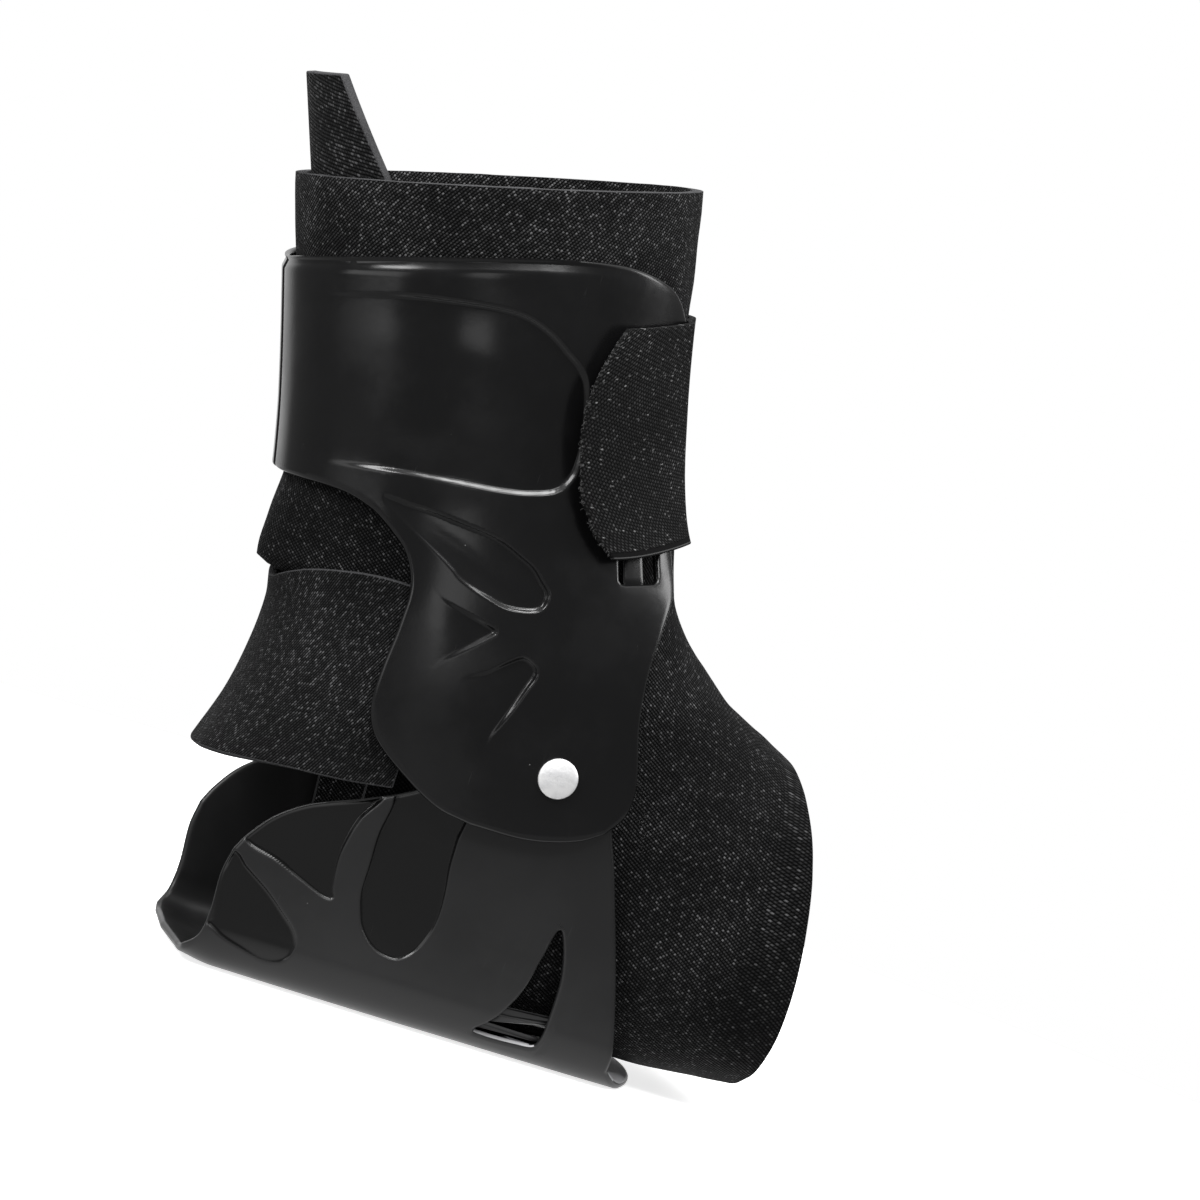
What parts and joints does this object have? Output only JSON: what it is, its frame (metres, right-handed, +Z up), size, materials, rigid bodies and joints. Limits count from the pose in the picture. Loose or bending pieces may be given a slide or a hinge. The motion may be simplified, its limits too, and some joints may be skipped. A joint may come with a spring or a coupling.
{
  "type": "hinged ankle support brace",
  "caption": "Ankle support wrap: black foam sleeve, moulded cuff and heel stirrup riveted at the sides, hook-and-loop strap and Achilles band.",
  "frame": {"origin": "on the underside of the stirrup's flat sole, straight below the rivets' common axis", "axes": "+X towards the toes, +Z up from the sole along the standing height, -Y the outer side of the ankle, where the strap's free end lies"},
  "size_m": [0.1951, 0.1012, 0.2349],
  "materials": {
    "foam_fabric": "black foam with knitted faces",
    "cuff_plastic": "black, moulded, semi-gloss",
    "stirrup_plastic": "black, moulded, satin",
    "strap_fabric": "black hook-and-loop webbing",
    "rivet_metal": "polished, lightly scuffed"
  },
  "bodies": {
    "root": {"sleeve": "foam_fabric", "heel_band": "foam_fabric", "pull_tab": "foam_fabric", "cuff_shell": "cuff_plastic", "stirrup": "stirrup_plastic", "strap": "strap_fabric", "rivet_outer": "rivet_metal", "rivet_inner": "rivet_metal"}
  },
  "joints": []
}
